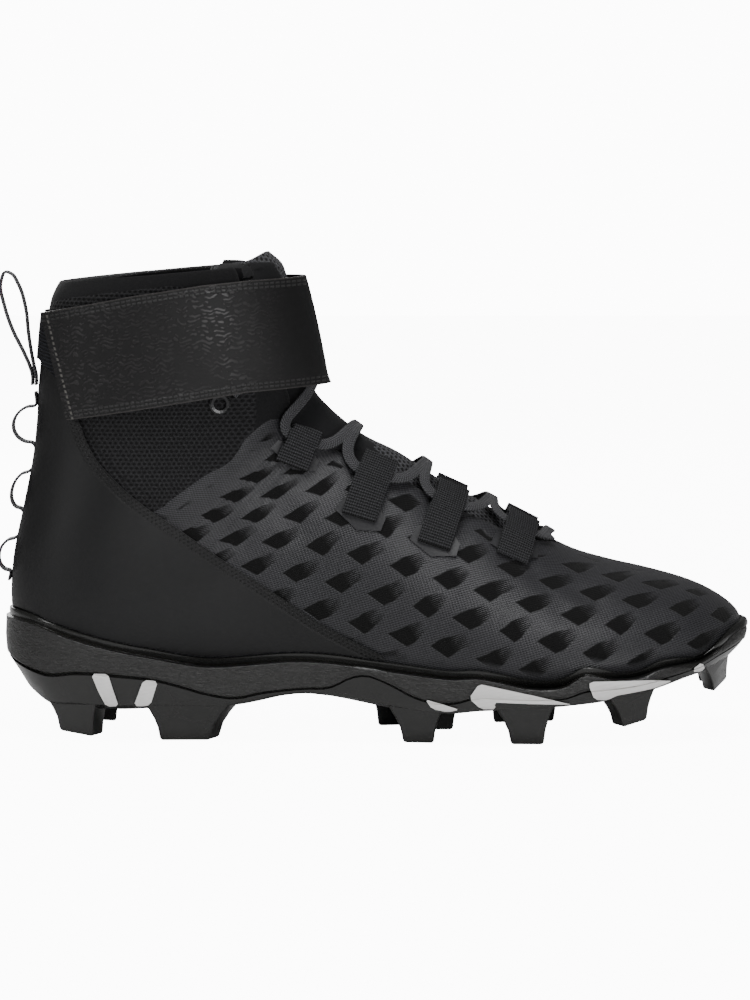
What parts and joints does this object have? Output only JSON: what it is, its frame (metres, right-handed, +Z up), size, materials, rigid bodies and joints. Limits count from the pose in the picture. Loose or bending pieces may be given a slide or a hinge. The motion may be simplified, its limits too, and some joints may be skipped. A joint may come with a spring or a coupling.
{
  "type": "american football cleat",
  "caption": "High-top studded football shoe for the right foot, with a moulded stud plate, laced throat and a wide strap round the ankle.",
  "frame": {"origin": "on the floor under the middle of the shoe's overall box", "axes": "+X towards the toe, +Z up, -Y towards the outer side of the foot"},
  "size_m": [0.3008, 0.1039, 0.1925],
  "materials": {
    "upper_textile": "coated woven textile, matte",
    "quarter_synthetic": "smooth synthetic leather, satin",
    "tongue_mesh": "padded spacer mesh",
    "insole_foam": "fabric-faced foam",
    "plate_tpu": "moulded thermoplastic, satin",
    "strap_synthetic": "embossed coated synthetic, semi gloss",
    "elastic": "ribbed elastic",
    "lace_cord": "flat woven lace",
    "webbing": "narrow woven tape",
    "eyelet_metal": "black enamel",
    "accent_tpu": "moulded thermoplastic, satin white"
  },
  "bodies": {
    "root": {"upper": "upper_textile", "heel_quarter": "quarter_synthetic", "tongue": "tongue_mesh", "insole": "insole_foam", "outsole": "plate_tpu", "ankle_strap": "strap_synthetic", "strap_elastic": "elastic", "laces": "lace_cord", "pull_loop": "webbing", "heel_tape": "webbing", "eyelet_lateral": "eyelet_metal", "eyelet_medial": "eyelet_metal", "lace_loop_lateral_1": "webbing", "lace_loop_lateral_2": "webbing", "lace_loop_lateral_3": "webbing", "lace_loop_lateral_4": "webbing", "lace_loop_medial_1": "webbing", "lace_loop_medial_2": "webbing", "lace_loop_medial_3": "webbing", "lace_loop_medial_4": "webbing", "heel_bar_rear_lateral": "accent_tpu", "heel_bar_rear_medial": "accent_tpu", "heel_bar_front_lateral": "accent_tpu", "heel_bar_front_medial": "accent_tpu", "waist_flash_lateral": "accent_tpu", "waist_flash_medial": "accent_tpu", "ball_flash_lateral": "accent_tpu", "ball_flash_medial": "accent_tpu", "toe_flash_lateral": "accent_tpu", "toe_flash_medial": "accent_tpu", "toe_chip_lateral": "accent_tpu", "toe_chip_medial": "accent_tpu"}
  },
  "joints": []
}
